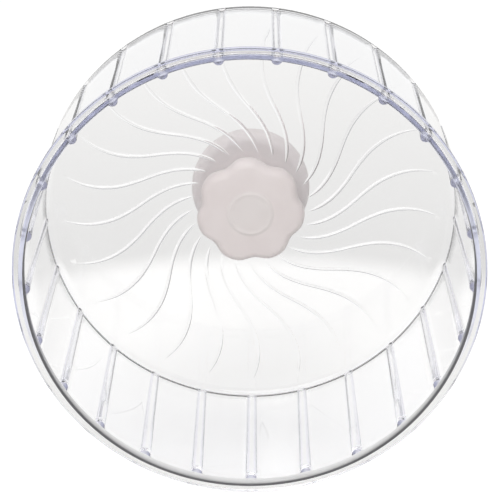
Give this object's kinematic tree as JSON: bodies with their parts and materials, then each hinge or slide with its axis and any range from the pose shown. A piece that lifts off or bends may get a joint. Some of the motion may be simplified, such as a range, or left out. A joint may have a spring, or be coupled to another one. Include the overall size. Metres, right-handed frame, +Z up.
{
  "type": "exercise wheel",
  "caption": "Open-fronted clear plastic running wheel for small pets, on a ball-bearing hub that clamps to cage bars.",
  "frame": {"origin": "on the wheel's axis, at the face of the base that rests on the cage bars", "axes": "+Y along the wheel's axis from its open front to the cage, +Z up, +X to the right seen from the open front"},
  "size_m": [0.32, 0.2191, 0.32],
  "materials": {
    "clear_plastic": "clear polished moulding, faint blue tint",
    "knob_plastic": "satin, pinkish white",
    "base_plastic": "satin, pinkish white",
    "nylon": "natural",
    "steel": "zinc plated",
    "bearing_steel": "ground",
    "brass": "turned"
  },
  "bodies": {
    "base": {"mount_housing": "base_plastic", "rear_cover": "base_plastic", "cover_screw_1": "steel", "cover_screw_2": "steel", "cover_screw_3": "steel", "clamp_bolt": "steel", "front_bearing_outer_ring": "bearing_steel", "rear_bearing_outer_ring": "bearing_steel"},
    "wheel": {"wheel_drum": "clear_plastic", "hub_flange": "base_plastic", "wheel_washer": "nylon", "axle": "steel", "axle_nut": "steel", "axle_washer": "steel", "bearing_spacer": "steel", "front_bearing_inner_ring": "bearing_steel", "rear_bearing_inner_ring": "bearing_steel"},
    "front_cage": {"front_bearing_cage": "nylon", "front_bearing_ball_1": "bearing_steel", "front_bearing_ball_2": "bearing_steel", "front_bearing_ball_3": "bearing_steel", "front_bearing_ball_4": "bearing_steel", "front_bearing_ball_5": "bearing_steel", "front_bearing_ball_6": "bearing_steel", "front_bearing_ball_7": "bearing_steel"},
    "rear_cage": {"rear_bearing_cage": "nylon", "rear_bearing_ball_1": "bearing_steel", "rear_bearing_ball_2": "bearing_steel", "rear_bearing_ball_3": "bearing_steel", "rear_bearing_ball_4": "bearing_steel", "rear_bearing_ball_5": "bearing_steel", "rear_bearing_ball_6": "bearing_steel", "rear_bearing_ball_7": "bearing_steel"},
    "knob_thread": {"knob_insert": "brass"},
    "knob": {"knob_cap": "knob_plastic", "knob_centre_cap": "knob_plastic"},
    "clamp": {"clamp_plate": "base_plastic"},
    "wing_nut": {"wing_nut": "steel"}
  },
  "joints": [
    {"name": "wheel_spin", "type": "hinge", "parent": "base", "child": "wheel", "pos_m": [0, 0, 0], "axis": [0, 1, 0], "continuous": true},
    {"name": "front_cage_spin", "type": "hinge", "parent": "base", "child": "front_cage", "pos_m": [0, 0, 0], "axis": [0, 1, 0], "continuous": true},
    {"name": "rear_cage_spin", "type": "hinge", "parent": "base", "child": "rear_cage", "pos_m": [0, 0, 0], "axis": [0, 1, 0], "continuous": true},
    {"name": "knob_travel", "type": "slide", "parent": "wheel", "child": "knob_thread", "axis": [0, -1, 0], "range_m": [0, 0.0091]},
    {"name": "knob_turn", "type": "hinge", "parent": "knob_thread", "child": "knob", "pos_m": [0, 0, 0], "axis": [0, -1, 0], "range_deg": [0, 2592]},
    {"name": "clamp_travel", "type": "slide", "parent": "base", "child": "clamp", "axis": [0, 1, 0], "range_m": [-0.0031, 0.0081]},
    {"name": "clamp_turn", "type": "hinge", "parent": "clamp", "child": "wing_nut", "pos_m": [0, 0, 0], "axis": [0, 1, 0], "range_deg": [-864, 2304]}
  ],
  "couplings": [
    {"joint": "front_cage_spin", "follows": "wheel_spin", "ratio": 0.368},
    {"joint": "rear_cage_spin", "follows": "wheel_spin", "ratio": 0.368},
    {"joint": "knob_travel", "follows": "knob_turn", "m_per_rad": 0.00019894},
    {"joint": "clamp_travel", "follows": "clamp_turn", "m_per_rad": 0.00019894}
  ]
}
